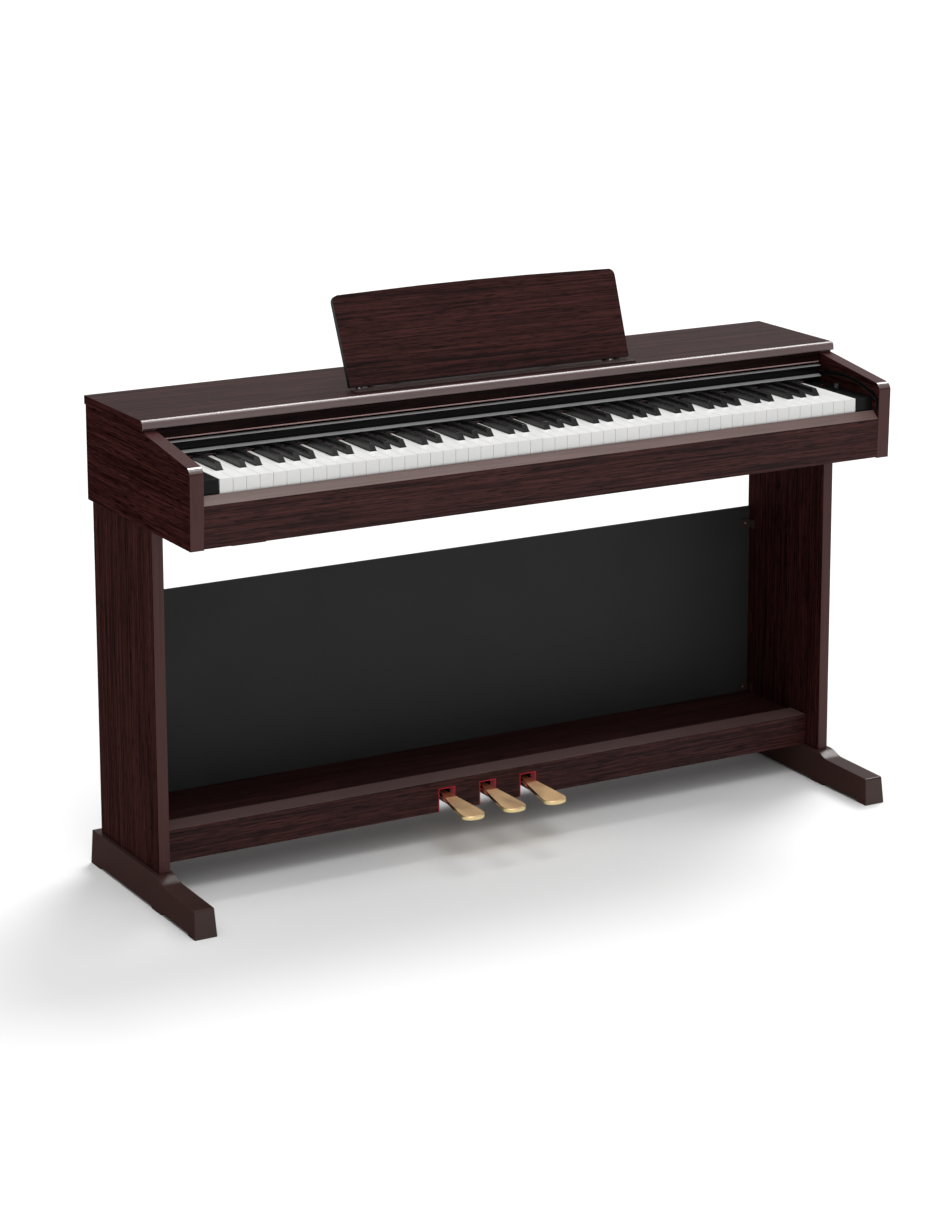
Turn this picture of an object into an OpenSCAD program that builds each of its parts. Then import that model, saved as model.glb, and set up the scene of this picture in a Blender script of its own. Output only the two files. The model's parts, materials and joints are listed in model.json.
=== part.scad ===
// Home digital piano on a two-leg stand, with a sliding key cover, a folding music rest and
// three pedals.
// Frame: +X to the player's right, +Y to the back of the piano, +Z up. The origin lies on the
// floor, midway between the feet. All sizes are in millimetres.

/* [Overall] */
// Width over the two feet
overall_w = 1357; // [1330:1:1700]
// Depth over the feet
overall_d = 422; // [410:1:560]
// Height of the cabinet's top, with the music rest left out
cabinet_h = 815; // [760:1:1000]

/* [Cabinet] */
// Height of the keyboard case, from its lower edge to the top board's upper face
case_h = 177; // [172:1:200]
// Thickness of the top board
top_t = 15; // [12:0.5:20]
// Thickness of the side panels
side_t = 24; // [20:0.5:28]
// How far the top board's end stands inside the feet
top_inset = 5.5; // [2:0.5:10]
// How far the side panel's outer face stands inside the feet
side_inset = 7.5; // [5:0.5:12]
// Length of the arms in front of the top board
arm_len = 183; // [178:1:190]
// Height of the arm's front above the case's lower edge
arm_front_h = 134; // [128:1:140]
// Radius of the arm's upper front corner
arm_corner_r = 14; // [6:1:16]
// Thickness of the rear panel
rear_t = 12; // [6:1:18]
// Thickness of the key bed
bed_t = 15; // [12:1:20]
// Thickness of the key slip
slip_t = 18; // [15:1:22]
// Height of the key slip's upright face
slip_h = 69; // [60:1:72]

/* [Keyboard] */
// Spacing of the white keys
white_pitch = 23.5; // [23:0.1:23.8]
// Gap between neighbouring white keys
key_gap = 0.7; // [0.6:0.1:1.4]
// Height of the white keys' tops above the case's lower edge
key_top_h = 107; // [104:0.5:110]
// Distance from the white keys' fronts to the pivot shaft
key_pivot_len = 210; // [200:1:230]
// Visible length of the white keys
white_len = 150; // [146:1:152]
// Visible length of the black keys
black_len = 92; // [88:1:96]
// Height of the black keys above the white keys
black_rise = 12; // [10:0.5:12.5]
// Height of a key's body
key_body_h = 18; // [16:0.5:20]
// Radius of the pivot shaft
key_shaft_r = 2.5; // [2:0.1:3.5]
// Radial clearance of the keys on their shaft
shaft_clear = 0.06; // [0.03:0.01:0.1]

/* [Key cover] */
// Thickness of the sliding cover board
cover_t = 10; // [8:0.5:11]
// Depth of the cover from its front rail to the rear rod
cover_depth = 172; // [170:1:190]
// Forward travel of the cover
cover_travel = 165; // [120:1:165]
// Width of the guide track in the arms
track_w = 8; // [6:0.5:10]

/* [Controls] */
// Radius of the volume knob
knob_r = 5.5; // [4:0.5:8]
// Height of the volume knob
knob_h = 12; // [8:0.5:12]
// Length of a push button along the keys
button_len = 14; // [10:1:20]
// Width of a push button
button_w = 9; // [6:1:14]
// How far a button stands out of its panel
button_out = 1.2; // [1:0.1:1.5]

/* [Music rest] */
// Width of the music rest at its foot
rest_w = 545; // [400:1:600]
// Length of the music rest from its hinge to its top corners
rest_len = 153; // [140:1:156]
// Rise of the arched top edge
rest_arch = 4; // [2:0.5:8]
// Thickness of the music rest
rest_t = 9; // [7:0.5:10]
// Angle of the raised music rest above level
rest_angle = 68.5; // [65:0.5:72]
// Distance of the props' pivots from the rest's hinge
prop_pivot = 66; // [60:1:70]

/* [Stand] */
// Thickness of the legs
leg_t = 20; // [16:0.5:22]
// Depth of the legs
leg_d = 239; // [200:1:250]
// Height of a foot under its leg
foot_h = 59; // [50:1:70]
// Height of a foot at its front end
toe_h = 48; // [40:1:50]
// Width of a foot on the floor
foot_w = 40; // [36:1:46]
// Height of the back board
back_h = 358; // [300:1:400]
// Thickness of the back board
back_t = 4; // [3:0.5:6]

/* [Pedals] */
// Height of the pedal box's lower face above the floor
box_z = 60; // [56:1:70]
// Height of the pedal box's front
box_h = 56; // [50:1:60]
// Spacing of the pedals
pedal_pitch = 81; // [70:1:90]
// Sideways place of the middle pedal
pedal_x = -26; // [-80:1:80]
// Length of a pedal in front of the box
pedal_out = 105; // [90:1:120]
// Width of a pedal's rounded blade
pedal_w = 44; // [36:1:50]
// Radius of the pedal shaft
pedal_shaft_r = 4; // [3:0.5:5]

/* [Hidden] */

$fn = 48;
cut = 1;                                  // how far a cutting shape runs past a face

wood = [0.24, 0.12, 0.11];
black = [0.07, 0.07, 0.08];
steel = [0.62, 0.63, 0.65];
red_felt = [0.62, 0.05, 0.08];
foot_brown = [0.27, 0.2, 0.19];
gold = [0.80, 0.64, 0.40];

// Outer faces
half_w = overall_w / 2;
front_y = -overall_d / 2;
rear_y = overall_d / 2;

// Cabinet
case_z = cabinet_h - case_h;              // lower edge of the keyboard case
board_z = cabinet_h - top_t;              // underside of the top board
side_x = half_w - side_inset;             // outer face of a side panel
inner_x = side_x - side_t;                // inner face of a side panel
case_rear_y = rear_y - 12;                // rear face of the side panels
top_rear_y = rear_y - 11;                 // rear edge of the top board
top_front_y = front_y + arm_len;          // where the top board's level face ends
lip_y = top_front_y - 9;                  // lower front edge of the top board
lip_r = 9;                                // rounding of the top board's front
bed_z = case_z + 2;                       // underside of the key bed
bed_top = bed_z + bed_t;
slip_front_y = front_y + 2;
bevel_run = 15;                           // depth of the key slip's bevel
bevel_rise = 13;                          // height of the key slip's bevel
slip_top = bed_z + slip_h + bevel_rise;   // rear edge of the bevel
arm_y = top_front_y - 2;                  // where the arm's slope comes out under the board
arm_step = 3.6;                           // drop from the board to the start of the slope

// Keyboard
key_top = case_z + key_top_h;
key_under = key_top - key_body_h;
key_front_y = front_y + 20.5;
pivot_y = key_front_y + key_pivot_len;
pivot_z = key_top - 10;
tail_y = pivot_y + 10;
fascia_y = key_front_y + white_len + 10.5;   // front face of the control panel
black_rear_y = key_front_y + white_len - 3.5;
black_front_y = black_rear_y - black_len;
octave_w = 7 * white_pitch;
semitone = octave_w / 12;                 // spacing of the keys' tails
kb_half = 26 * white_pitch;
tail_clear = 0.3;                         // from a white key's tail to its slot
shank_clear = 1.2;                        // from a key's shank to its slot
black_clear = 1.3;                        // from a black key to its slot
panel_gap = 3;                            // from the white keys' tops to the control panel
shank_y = fascia_y + 2;                   // where a white key narrows to its shank
lip_drop = 11;                            // how far the white keys' front lip hangs down
lip_t = 3;
pocket_wall = 2.2;
key_skin = 4;                             // thickness over a white key's pocket
rail_gap = 12;                            // from a key's lip to the felt's rail
felt_h = 5;                               // height of the felt on the rail
felt_out = 4.5;                           // how far the red strip stands out of the panel
frame_rear_y = tail_y + 12;               // rear edge of the key frame
frame_gap = 2;                            // from the key frame to what stands behind it
degrees = [0, -1, 1, -1, 2, 3, -1, 4, -1, 5, -1, 6];

// Key cover
rod_r = 3;
roller_r = 5;
rod_z = board_z - 3 - roller_r;
nose_t = 12;                              // depth of the cover's front rail
nose_h = 19.5;                            // height of the cover's front rail
nose_y = lip_y + 6;                       // front face of the front rail at rest
rod_y = nose_y + cover_depth;
cover_gap = 1.5;                          // from the cover to the side panels
groove_gap = 0.3;                         // from the rollers to their grooves
groove_depth = 5;
track_depth = 4;
track_r = 250;                            // the track's long arc
track_start = 71;                         // angles at the long arc's rear and front ends
track_end = 112.5;
bend_r = 14;                              // the track's front bend
track_top_y = front_y + 111;              // crest of the track
track_top_z = case_z + 130;
track_low_z = slip_top + 1;

// Control blocks
block_gap = 1.5;                          // from the outer key to a block
block_x = kb_half + block_gap;
block_mid = (block_x + inner_x) / 2;
block_t = 3;
button_gap = 0.4;
button_h = 10;
knob_shaft_r = 3;
knob_y = front_y + 101;
power_y = front_y + 134;
button_y = [for (i = [0:2]) front_y + 66 + 24 * i];

// Music rest
rest_x = -6;                              // sideways place of the rest's middle
hinge_y = top_front_y + 42;
hinge_z = cabinet_h + 8;
hinge_r = 2;
hinge_clear = 0.06;
knuckle_r = 4.2;
knuckle_w = 14;
hinge_w = 28;
hinge_x = rest_w / 2 - 31.5;              // from the rest's middle to a hinge
rest_back = 2.5;                          // from the hinge axis to the rest's back
rest_low = -4;                            // the rest's lower edge from its hinge axis
rest_skin = 1.3;                          // wood left in front of the hinges
hinge_notch = 8;                          // height of the rest's notches over its hinges
rest_flare = 3.5;                         // how much wider each side is at the top
rest_corner = 12;
prop_x = 150;
prop_w = 12;
prop_t = 4;
prop_back = 1.8;                          // from a prop's pivot to its back
prop_pin_r = 1.5;
prop_foot_r = 3;
prop_drop = 5.3;                          // the props' pivots behind the hinge axis
cheek_t = 4;                              // thickness of the cheeks beside each prop
cheek_r = 5;                              // half the cheeks' length along the rest
prop_slope = 55;                          // angle of a prop below level when raised
prop_len = (prop_pivot * sin(rest_angle) - prop_drop * cos(rest_angle) + hinge_z - cabinet_h
    - prop_foot_r - 0.3) / sin(prop_slope);

// Stand
leg_x = inner_x + leg_t;                  // outer face of a leg
leg_rear_y = rear_y - 22;
leg_front_y = leg_rear_y - leg_d;
foot_draft = 3;                           // how much a foot narrows on each side
foot_in_x = half_w - foot_w;
pad_h = 4;                                // height of the recesses between the foot pads
toe_slope = 5;

// Pedal box
box_y = front_y + 201;                    // front face of the pedal box
box_wall = 18;
box_floor = 10;
ledge_d = 48;
ledge_t = 14;
box_top = box_z + box_h;
shelf_z = box_top - 5;                    // upper face of the box behind its ledge
box_rear_y = leg_rear_y - 1;
back_y = box_rear_y - back_t;
notch_w = 33;
notch_h = 42;
notch_d = 62;
felt_t = 1.5;
pedal_arm_w = 16;
pedal_t = 7;
pedal_z = box_z + 27;                     // middle of a pedal at the box's front
pedal_dip = 9;                            // how far the blade falls towards its tip
pedal_corner = 15;                        // rounding of the blade's two corners
pedal_pivot_y = box_y + 120;
pedal_clear = 0.06;
ear_t = 3;
ear_gap = 1;
ear_half = pedal_arm_w / 2 + ear_gap;
spring_wire = 0.9;

// Height adjuster
adjust_x = pedal_x + 112;
adjust_y = box_y + 150;
adjust_r = 5;
adjust_foot_r = 16;
adjust_foot_t = 8;
adjust_gap = 3;                           // from the adjuster to the floor

// Speakers and grilles
speaker_x = 430;
speaker_r = 60;
speaker_y = case_rear_y - rear_t - speaker_r - 9;
speaker_h = 54;
speaker_hole_r = 51;

// Jacks
phone_x = -inner_x + 87;
phone_pitch = 30;
phone_in = 36;                            // from the key slip to the headphone jacks
phone_r = 3.2;
phone_z = bed_z - 8;
dc_x = 400;
dc_z = bed_top + 22;
dc_r = 2.75;
plate_w = 100;
plate_h = 34;

// Brackets and screws
bracket_w = 16;
bracket_leg = 18;
bracket_t = 2;
screw_r = 1.9;
screw_clear = 0.06;
screw_head_r = 4;
screw_head_h = 1.8;
screw_x = inner_x - bracket_leg / 2 - 1;
board_bracket_zs = [shelf_z + 1, shelf_z + back_h - 40];

// ---- Shape helpers ----

// A box between two corners
module block(low, high) {
    translate(low) cube(high - low);
}

// A (Y, Z) outline run along X
module x_prism(x0, x1) {
    translate([x0, 0, 0]) rotate([90, 0, 90]) linear_extrude(x1 - x0) children();
}

// An (X, Z) outline run along Y
module y_prism(y0, y1) {
    translate([0, y1, 0]) rotate([90, 0, 0]) linear_extrude(y1 - y0) children();
}

// A round rod along X
module x_rod(x0, x1, y, z, r) {
    translate([x0, y, z]) rotate([0, 90, 0]) cylinder(r = r, h = x1 - x0);
}

// A round rod along Y
module y_rod(y0, y1, x, z, r) {
    translate([x, y1, z]) rotate([90, 0, 0]) cylinder(r = r, h = y1 - y0);
}

// The same thing on the left and on the right
module both_sides() {
    children();
    mirror([1, 0, 0]) children();
}

// Points along an arc, from angle a0 to angle a1
function arc(cx, cy, r, a0, a1, steps = 8) =
    [for (i = [0:steps]) let (a = a0 + (a1 - a0) * i / steps) [cx + r * cos(a), cy + r * sin(a)]];

// A list in the opposite order
function backwards(list) = [for (i = [len(list) - 1:-1:0]) list[i]];

// ---- Cabinet ----

// The top board, with a rounded front edge over a slanted face
module top_board() {
    ease = 1.5;
    slant_start = 150;
    color(wood) x_prism(-half_w + top_inset, half_w - top_inset)
        polygon(concat(
            [[lip_y + ease, board_z], [top_rear_y, board_z], [top_rear_y, cabinet_h]],
            arc(top_front_y, cabinet_h - lip_r, lip_r, 90, slant_start),
            [[lip_y, board_z + ease]]));
}

// The track's middle line: a long arc, a tight bend and a short upright run
function track_line(side) = let (
    end = [track_top_y, track_top_z - track_r] + track_r * [cos(track_end), sin(track_end)],
    bend = end - bend_r * [cos(track_end), sin(track_end)])
    concat(
        arc(track_top_y, track_top_z - track_r, track_r + side, track_start, track_end, 14),
        arc(bend[0], bend[1], bend_r + side, track_end + 12, 180, 5),
        [[bend[0] - bend_r - side, track_low_z]]);

// The track's outline, w wide
module track_shape(w) {
    polygon(concat(track_line(w / 2), backwards(track_line(-w / 2))));
}

// A side panel seen from its side, with the arm's slope and rounded front corner
module side_outline() {
    toe_in = 3;
    slope_start = 98;
    polygon(concat(
        [[front_y + toe_in, case_z], [case_rear_y, case_z], [case_rear_y, board_z],
            [arm_y, board_z], [arm_y, board_z - arm_step]],
        arc(front_y + arm_corner_r, case_z + arm_front_h - arm_corner_r, arm_corner_r,
            slope_start, 180)));
}

// The right-hand side panel, with its arm, its roller groove and its cover track's slot
module side_panel() {
    color(wood) difference() {
        x_prism(inner_x, side_x) side_outline();
        block([inner_x - cut, rod_y - cover_travel - roller_r - groove_gap,
                rod_z - roller_r - groove_gap],
            [inner_x + groove_depth, rod_y + roller_r + groove_gap,
                rod_z + roller_r + groove_gap]);
        x_prism(inner_x - cut, inner_x + track_depth) track_shape(track_w);
    }
}

module side_panel_left() {
    mirror([1, 0, 0]) side_panel();
}

module side_panel_right() {
    side_panel();
}

module rear_panel() {
    color(wood) difference() {
        block([-inner_x, case_rear_y - rear_t, bed_z], [inner_x, case_rear_y, board_z]);
        block([dc_x - plate_w / 2, case_rear_y - rear_t - cut, dc_z - plate_h / 2],
            [dc_x + plate_w / 2, case_rear_y + cut, dc_z + plate_h / 2]);
    }
}

module key_bed() {
    color(wood) difference() {
        block([-inner_x, slip_front_y + slip_t, bed_z],
            [inner_x, case_rear_y - rear_t, bed_top]);
        for (x = [-speaker_x, speaker_x])
            translate([x, speaker_y, bed_z - cut])
                cylinder(r = speaker_hole_r, h = bed_t + 2 * cut);
    }
}

module key_slip() {
    color(wood) x_prism(-inner_x, inner_x)
        polygon([[slip_front_y, bed_z], [slip_front_y + slip_t, bed_z],
            [slip_front_y + slip_t, slip_top - 5], [slip_front_y + bevel_run + 1, slip_top],
            [slip_front_y + bevel_run, slip_top], [slip_front_y, bed_z + slip_h]]);
}

// The right-hand control block beside the keys, an open-bottomed shell
module end_block() {
    difference() {
        block([block_x, key_front_y, slip_top], [inner_x, fascia_y, key_top]);
        block([block_x + block_t, key_front_y + block_t, slip_top - cut],
            [inner_x - block_t, fascia_y - block_t, key_top - block_t]);
    }
}

// An opening through a control block for one push button
module button_opening(x, y) {
    block([x - button_w / 2 - button_gap, y - button_len / 2 - button_gap, key_top - block_t - cut],
        [x + button_w / 2 + button_gap, y + button_len / 2 + button_gap, key_top + cut]);
}

module end_blocks() {
    color(black) {
        difference() {
            end_block();
            button_opening(block_mid, power_y);
            translate([block_mid, knob_y, key_top - block_t - cut])
                cylinder(r = knob_shaft_r + shaft_clear, h = block_t + 2 * cut);
        }
        difference() {
            mirror([1, 0, 0]) end_block();
            for (y = button_y) button_opening(-block_mid, y);
        }
    }
}

// The black panel over the keys' rear ends, with its two long rounded ledges
module control_panel() {
    panel_t = 8;
    panel_low = key_top + panel_gap;
    panel_top = rod_z - roller_r - 12;
    low_r = 3.5;
    low_z = panel_low + low_r + 2;
    top_r = 2.2;
    color(black) x_prism(-inner_x, inner_x) union() {
        translate([fascia_y, panel_low]) square([panel_t, panel_top - panel_low]);
        polygon(concat([[fascia_y + 1, low_z - low_r]], arc(fascia_y - 3, low_z, low_r, 270, 90),
            [[fascia_y + 1, low_z + low_r + 2]]));
        polygon(concat([[fascia_y + 1, panel_top - 6]],
            arc(fascia_y - 2, panel_top - top_r, top_r, 270, 90), [[fascia_y + 1, panel_top]]));
    }
}

// Red strip under the control panel, and the soft stop under the keys' fronts
module key_felt() {
    color(red_felt) {
        block([-kb_half, fascia_y - felt_out, key_top + 0.6],
            [kb_half, fascia_y + 6, key_top + panel_gap]);
        block([-kb_half, key_front_y + 4, key_under - lip_drop - rail_gap - felt_h],
            [kb_half, key_front_y + 24, key_under - lip_drop - rail_gap]);
    }
}

module cover_tracks() {
    color(black) both_sides() difference() {
        x_prism(inner_x, inner_x + track_depth) track_shape(track_w);
        x_prism(inner_x - cut, inner_x + track_depth - 1) track_shape(track_w - 4);
    }
}

// ---- Sliding key cover ----

// The rod at the cover's rear edge, with a roller on each end
module key_cover_carriage() {
    color(steel) {
        x_rod(-inner_x - groove_depth + 1, inner_x + groove_depth - 1, rod_y, rod_z, rod_r);
        both_sides()
            x_rod(inner_x + 0.5, inner_x + groove_depth - 0.5, rod_y, rod_z, roller_r);
    }
}

// The cover board, with three lugs that turn on the rear rod
module key_cover() {
    cover_x = inner_x - cover_gap;
    lug_w = 60;
    lug_r = roller_r + 0.8;
    color(wood) {
        difference() {
            union() {
                block([-cover_x, nose_y + nose_t, rod_z - cover_t / 2],
                    [cover_x, rod_y - rod_r - 4, rod_z + cover_t / 2]);
                for (x = [-cover_x + lug_w, 0, cover_x - lug_w]) {
                    x_rod(x - lug_w / 2, x + lug_w / 2, rod_y, rod_z, lug_r);
                    block([x - lug_w / 2, rod_y - rod_r - 5, rod_z - cover_t / 2],
                        [x + lug_w / 2, rod_y, rod_z + cover_t / 2]);
                }
            }
            x_rod(-cover_x - cut, cover_x + cut, rod_y, rod_z, rod_r + shaft_clear);
        }
    }
}

// The cover's front rail, rounded along its lower front edge
module key_cover_front() {
    cover_x = inner_x - cover_gap;
    top = board_z - cover_gap;
    round_r = 4;
    color(wood) x_prism(-cover_x, cover_x)
        polygon(concat([[nose_y, top], [nose_y + nose_t, top], [nose_y + nose_t, top - nose_h]],
            arc(nose_y + round_r, top - nose_h + round_r, round_r, 270, 180, 6)));
}

// ---- Controls ----

module push_button(x, y) {
    color(black) block([x - button_w / 2, y - button_len / 2, key_top + button_out - button_h],
        [x + button_w / 2, y + button_len / 2, key_top + button_out]);
}

module power_button() {
    push_button(block_mid, power_y);
}

module song_button() {
    push_button(-block_mid, button_y[0]);
}

module metronome_button() {
    push_button(-block_mid, button_y[1]);
}

module voice_button() {
    push_button(-block_mid, button_y[2]);
}

// The volume knob, with a pointer line on its top and a shaft through its block
module volume_knob() {
    lift = 0.5;
    line_w = 0.8;
    line_d = 1;
    tail = 6;
    color(black) translate([block_mid, knob_y, 0]) {
        difference() {
            translate([0, 0, key_top + lift]) cylinder(r = knob_r, h = knob_h - lift);
            translate([-line_w / 2, -knob_r - cut, key_top + knob_h - line_d])
                cube([line_w, knob_r + cut, line_d + cut]);
        }
        translate([0, 0, key_top - block_t - tail])
            cylinder(r = knob_shaft_r, h = block_t + tail + 1);
    }
}

// ---- Keyboard ----

// Left edge of an octave, which starts at its C
function octave_x(octave) = -kb_half + (7 * octave - 5) * white_pitch;

// True where a step of the octave is a black key of this keyboard, which runs from A0 to C8
function is_black(octave, step) =
    step > 0 && step < 12 && degrees[step] < 0 && !(octave == 0 && step < 9) && octave < 8;

function head_x(octave, step) = octave_x(octave) + degrees[step] * white_pitch;

// Left and right edges of a white key's tail between its black neighbours
function tail_left(octave, step) = is_black(octave, step - 1)
    ? octave_x(octave) + step * semitone + tail_clear
    : head_x(octave, step) + key_gap / 2;
function tail_right(octave, step) = is_black(octave, step + 1)
    ? octave_x(octave) + (step + 1) * semitone - tail_clear
    : head_x(octave, step) + white_pitch - key_gap / 2;

module shaft_bore(octave, step) {
    x_rod(octave_x(octave) + step * semitone, octave_x(octave) + (step + 1) * semitone,
        pivot_y, pivot_z, key_shaft_r + shaft_clear);
}

module white_key(octave, step) {
    left = head_x(octave, step) + key_gap / 2;
    right = left + white_pitch - key_gap;
    t_left = tail_left(octave, step);
    t_right = tail_right(octave, step);
    s_left = max(left, octave_x(octave) + step * semitone + shank_clear);
    s_right = min(right, octave_x(octave) + (step + 1) * semitone - shank_clear);
    difference() {
        union() {
            block([left, key_front_y, key_under], [right, black_front_y - 1.5, key_top]);
            block([left, key_front_y, key_under - lip_drop],
                [right, key_front_y + lip_t, key_under]);
            block([t_left, black_front_y - 2, key_under], [t_right, shank_y, key_top]);
            block([s_left, shank_y - 2, key_under], [s_right, tail_y, key_top]);
        }
        block([left + pocket_wall, key_front_y + lip_t, key_under - cut],
            [right - pocket_wall, black_front_y - 4, key_top - key_skin]);
        block([t_left + pocket_wall, black_front_y - 5, key_under - cut],
            [t_right - pocket_wall, shank_y - 22, key_top - key_skin]);
        shaft_bore(octave, step);
    }
}

module black_key(octave, step) {
    left = octave_x(octave) + step * semitone + black_clear;
    right = octave_x(octave) + (step + 1) * semitone - black_clear;
    taper = 0.9;
    difference() {
        intersection() {
            x_prism(left, right)
                polygon([[black_front_y, key_under], [tail_y, key_under], [tail_y, key_top - 1],
                    [black_rear_y, key_top - 1], [black_rear_y, key_top + black_rise],
                    [black_front_y + 9, key_top + black_rise - 0.5], [black_front_y, key_top + 1]]);
            y_prism(black_front_y - cut, tail_y + cut)
                polygon([[left, key_under], [right, key_under], [right, key_top],
                    [right - taper, key_top + black_rise], [left + taper, key_top + black_rise],
                    [left, key_top]]);
        }
        block([left + pocket_wall, black_front_y + 3, key_under - cut],
            [right - pocket_wall, shank_y - 22, key_top + 2]);
        shaft_bore(octave, step);
    }
}

module white_rank(octaves) {
    color("white") for (o = octaves, s = [0:11])
        if (degrees[s] >= 0 && !(o == 0 && s < 9) && !(o == 8 && s > 0)) white_key(o, s);
}

module black_rank(octaves) {
    color(black) for (o = octaves, s = [0:11]) if (is_black(o, s)) black_key(o, s);
}

module white_keys_bass() {
    white_rank([0:3]);
}

module black_keys_bass() {
    black_rank([0:3]);
}

module white_keys_treble() {
    white_rank([5:8]);
}

module black_keys_treble() {
    black_rank([5:7]);
}

module middle_key(step) {
    if (degrees[step] >= 0) color("white") white_key(4, step);
    else color(black) black_key(4, step);
}

module key_pivot_shaft() {
    color(steel) x_rod(-kb_half - 7, kb_half + 7, pivot_y, pivot_z, key_shaft_r);
}

// The chassis under the keys, cleared around the speakers, with the ribs that hold the pivot
// shaft between octaves
module key_frame() {
    rib_t = 1.4;
    rail_top = key_under - lip_drop - rail_gap - felt_h;
    ribs = concat([-kb_half - 3], [for (o = [1:8]) octave_x(o)], [kb_half + 3]);
    color([0.2, 0.2, 0.21]) difference() {
        union() {
            block([-kb_half - 5, key_front_y + 2, bed_top], [kb_half + 5, frame_rear_y, bed_top + 4]);
            block([-kb_half, key_front_y + 2, bed_top], [kb_half, key_front_y + 26, rail_top]);
            block([-kb_half, fascia_y - 34, bed_top], [kb_half, fascia_y, key_under - 15]);
            for (x = ribs)
                block([x - rib_t / 2, pivot_y - 12, bed_top],
                    [x + rib_t / 2, frame_rear_y - 6, pivot_z + 7]);
        }
        for (x = [-speaker_x, speaker_x])
            translate([x, speaker_y, bed_top - cut])
                cylinder(r = speaker_r + frame_gap, h = speaker_h + frame_gap + cut);
        x_rod(-kb_half - 10, kb_half + 10, pivot_y, pivot_z, key_shaft_r + shaft_clear);
    }
}

// Rubber contact strip on its long circuit board, with one dome under each key
module key_contact_strip() {
    color([0.35, 0.36, 0.38]) {
        block([-kb_half + 2, fascia_y - 32, key_under - 15], [kb_half - 2, fascia_y - 2, key_under - 13]);
        for (o = [0:8], s = [0:11])
            if (!(o == 0 && s < 9) && !(o == 8 && s > 0))
                block([octave_x(o) + (s + 0.5) * semitone - 3, fascia_y - 22, key_under - 13],
                    [octave_x(o) + (s + 0.5) * semitone + 3, fascia_y - 12, key_under - 7]);
    }
}

// ---- Electronics ----

// The main board on its four posts, with its chips and two large capacitors
module circuit_board() {
    board_w = 300;
    board_d = 90;
    board_t = 1.6;
    board_lift = 6;
    post_in = 8;
    chip_w = 28;
    chip_h = 4;
    can_r = 7;
    can_h = 22;
    y0 = max(speaker_y - board_d / 2, frame_rear_y + 2 * frame_gap);
    low = bed_top + board_lift;
    color([0.1, 0.3, 0.16]) {
        block([-board_w / 2, y0, low], [board_w / 2, y0 + board_d, low + board_t]);
        for (x = [-board_w / 2 + post_in, board_w / 2 - post_in])
            for (y = [y0 + post_in, y0 + board_d - post_in])
                translate([x, y, bed_top]) cylinder(r = 3.5, h = board_lift + 1);
        for (x = [-90, -20, 60])
            block([x, y0 + 30, low + 1], [x + chip_w, y0 + 30 + chip_w, low + chip_h]);
        for (x = [-118, 112])
            translate([x, y0 + 62, low + 1]) cylinder(r = can_r, h = can_h);
    }
}

// One speaker: a flange, a conical basket and its magnet
module speaker() {
    flange_t = 3;
    cone_r = speaker_r - 10;
    magnet_r = 34;
    magnet_z = 34;
    rotate_extrude($fn = 64)
        polygon([[cone_r, 0], [speaker_r, 0], [speaker_r, flange_t], [cone_r + 3, flange_t],
            [magnet_r - 6, magnet_z], [magnet_r, magnet_z], [magnet_r, speaker_h], [0, speaker_h],
            [0, magnet_z - 4], [magnet_r - 10, magnet_z - 4]]);
}

module speakers() {
    color(black) for (x = [-speaker_x, speaker_x])
        translate([x, speaker_y, bed_top]) speaker();
}

// Round slotted grilles in the key bed's speaker holes
module speaker_grilles() {
    grille_r = speaker_hole_r - 0.4;
    color(black) for (x = [-speaker_x, speaker_x])
        translate([x, speaker_y, bed_z]) difference() {
            cylinder(r = grille_r, h = 3);
            for (i = [-4:4])
                let (half = sqrt(pow(grille_r - 6, 2) - pow(i * 9, 2)))
                    block([-half, i * 9 - 2, -cut], [half, i * 9 + 2, 3 + cut]);
        }
}

// Headphone jacks under the key bed, and the jack plate in the rear panel
module jack_boxes() {
    phone_y = slip_front_y + slip_t + phone_in;
    phone_depth = 20;
    socket_y = case_rear_y - rear_t + cut;
    color(black) {
        difference() {
            block([phone_x - 15, phone_y, bed_z - 16], [phone_x + phone_pitch + 15, phone_y + 40, bed_z]);
            for (i = [0, 1])
                y_rod(phone_y - cut, phone_y + phone_depth, phone_x + phone_pitch * i, phone_z,
                    phone_r);
        }
        difference() {
            block([dc_x - plate_w / 2, case_rear_y - rear_t, dc_z - plate_h / 2],
                [dc_x + plate_w / 2, case_rear_y - 2, dc_z + plate_h / 2]);
            y_rod(socket_y, case_rear_y, dc_x - 30, dc_z, dc_r);
            block([dc_x - 7, socket_y + 1, dc_z - 6], [dc_x + 6, case_rear_y, dc_z + 6]);
            y_rod(socket_y, case_rear_y, dc_x + 30, dc_z, phone_r);
        }
    }
}

// ---- Music rest ----

// Moves what is drawn around the hinge axis, lying flat, to its raised place
module raised() {
    translate([rest_x, hinge_y, hinge_z]) rotate([rest_angle, 0, 0]) children();
}

// The rest's outline around its hinge axis, with an arched top and rounded corners
module rest_outline() {
    low_x = rest_w / 2;
    top_x = low_x + rest_flare;
    r = rest_corner;
    crest = [for (i = [1:9]) let (t = 1 - i / 5)
        [(top_x - r) * t, rest_len + rest_arch * (1 - t * t)]];
    polygon(concat([[-low_x, rest_low], [low_x, rest_low]],
        arc(top_x - r, rest_len - r, r, 0, 84, 6), crest,
        arc(-top_x + r, rest_len - r, r, 96, 180, 6)));
}

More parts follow.
